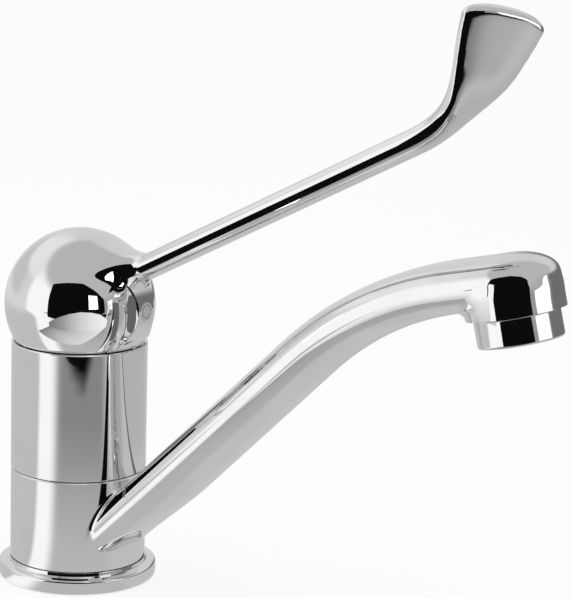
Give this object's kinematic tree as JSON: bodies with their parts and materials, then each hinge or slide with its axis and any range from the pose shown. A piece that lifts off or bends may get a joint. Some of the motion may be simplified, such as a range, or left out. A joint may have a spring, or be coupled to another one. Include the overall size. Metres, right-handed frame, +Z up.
{
  "type": "elbow lever tap",
  "caption": "Deck-mounted single-lever basin mixer with a swivelling cast spout and a long paddle lever on a ball cap, worked with an elbow or forearm.",
  "frame": {"origin": "mouth of the central fixing hole, at deck level", "axes": "+Z up along the body, +X towards the basin along the spout and lever at rest, +Y to the left of someone behind the tap"},
  "size_m": [0.2173, 0.056, 0.2179],
  "materials": {
    "chrome": "polished chrome plate on cast brass",
    "brass": "turned, unplated",
    "steel": "turned stainless steel",
    "rubber": "moulded black rubber",
    "white_plastic": "moulded acetal",
    "grey_plastic": "moulded glass-filled plastic",
    "ceramic": "lapped alumina ceramic",
    "plug_plastic": "plain moulded plug"
  },
  "bodies": {
    "body": {"base_ring": "chrome", "deck_gasket": "rubber", "valve_body": "chrome", "lower_glide_ring": "white_plastic", "upper_glide_ring": "white_plastic", "spout_seals": "rubber", "cartridge_base": "grey_plastic", "cartridge_seals": "rubber", "fixed_disc": "ceramic", "cartridge_housing": "grey_plastic", "cartridge_nut": "brass", "inner_cap": "chrome"},
    "spout": {"spout": "chrome", "aerator_shell": "chrome", "aerator_washer": "rubber", "aerator_screen": "steel", "aerator_insert": "white_plastic"},
    "rotor": {"rotor": "grey_plastic", "pivot_pin": "steel"},
    "lever": {"lever_handle": "chrome", "spindle": "steel", "grub_screw": "steel", "index_plug": "plug_plastic"},
    "discs": {"disc_carrier": "grey_plastic", "moving_disc": "ceramic"}
  },
  "joints": [
    {"name": "spout_swivel", "type": "hinge", "parent": "body", "child": "spout", "pos_m": [0, 0, 0.0235], "axis": [0, 0, 1], "range_deg": [-60, 60]},
    {"name": "mix_turn", "type": "hinge", "parent": "body", "child": "rotor", "pos_m": [0, 0, 0.09902], "axis": [0, 0, 1], "range_deg": [-50, 50]},
    {"name": "lever_lift", "type": "hinge", "parent": "rotor", "child": "lever", "pos_m": [0, 0, 0.09902], "axis": [0, -1, 0], "range_deg": [0, 25]},
    {"name": "disc_slide", "type": "slide", "parent": "rotor", "child": "discs", "axis": [1, 0, 0], "range_m": [0, 0.0061]}
  ],
  "couplings": [
    {"joint": "disc_slide", "follows": "lever_lift", "m_per_rad": 0.013889}
  ]
}
